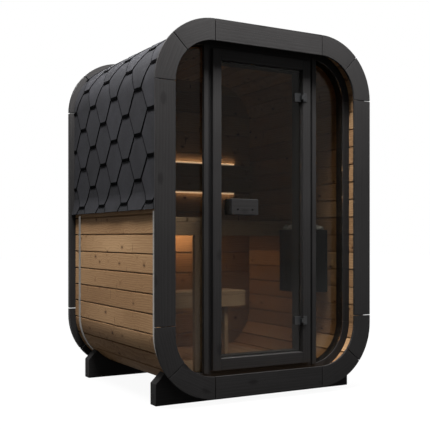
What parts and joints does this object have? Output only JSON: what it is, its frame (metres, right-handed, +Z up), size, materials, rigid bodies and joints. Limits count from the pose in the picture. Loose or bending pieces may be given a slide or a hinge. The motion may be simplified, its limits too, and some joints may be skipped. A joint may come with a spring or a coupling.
{
  "type": "outdoor sauna cabin",
  "caption": "Rounded box cabin of boards between two black trim rings, shingled roof, recessed tinted glass front with a hinged door, benches and a heater.",
  "frame": {"origin": "on the ground, at the centre of the cabin's width and depth", "axes": "+Z up, +Y from the glass front towards the back, +X to the right seen from the front"},
  "size_m": [1.5, 1.414, 2.186],
  "materials": {
    "black_stained_wood": "black stain, matt",
    "brown_boards": "heat-treated pine, bare",
    "bench_wood": "planed, bare",
    "shingle": "bitumen shingle with mineral grit",
    "galvanised_steel": "galvanised",
    "black_metal": "black powder coat",
    "tinted_glass": "bronze-grey tint, clear",
    "warm_light": "warm light strip behind a diffuser",
    "stone": "rough dark stones"
  },
  "bodies": {
    "cabin": {"front_ring_boards": "black_stained_wood", "front_ring_corner_boards": "black_stained_wood", "rear_ring_boards": "black_stained_wood", "rear_ring_corner_boards": "black_stained_wood", "left_wall": "brown_boards", "right_wall": "brown_boards", "bottom_deck": "brown_boards", "roof_deck": "brown_boards", "lower_corner_walls": "brown_boards", "upper_corner_walls": "brown_boards", "roof_shingles": "shingle", "corner_shingles": "shingle", "side_shingles": "shingle", "eave_shingles": "shingle", "eave_battens": "brown_boards", "front_foot": "black_stained_wood", "rear_foot": "black_stained_wood", "steel_straps": "galvanised_steel", "front_frame_boards": "black_stained_wood", "front_frame_corners": "black_stained_wood", "front_posts": "black_stained_wood", "side_panes": "tinted_glass", "head_and_sill": "black_stained_wood", "casing_stiles": "black_stained_wood", "casing_rails": "black_stained_wood", "hinge_jambs": "black_metal", "back_wall": "brown_boards", "floor_boards": "brown_boards", "floor_bearers": "brown_boards", "back_bench_seat": "bench_wood", "side_bench_seat": "bench_wood", "back_bench_front": "bench_wood", "side_bench_front": "bench_wood", "side_bench_end": "bench_wood", "lower_bench_seat": "bench_wood", "lower_bench_front": "bench_wood", "bench_legs": "bench_wood", "bench_cleats": "bench_wood", "backrest_boards": "bench_wood", "backrest_battens": "bench_wood", "light_strips": "warm_light", "heater_casing": "black_metal", "heater_stones": "stone", "heater_bracket": "black_metal"},
    "door": {"door_leaf": "tinted_glass", "door_handle": "black_stained_wood", "hinge_clamps": "black_metal"}
  },
  "joints": [
    {"name": "door_hinge", "type": "hinge", "parent": "cabin", "child": "door", "pos_m": [0.291, -0.633, 1.1245], "axis": [0, 0, 1], "range_deg": [0, 110]}
  ]
}
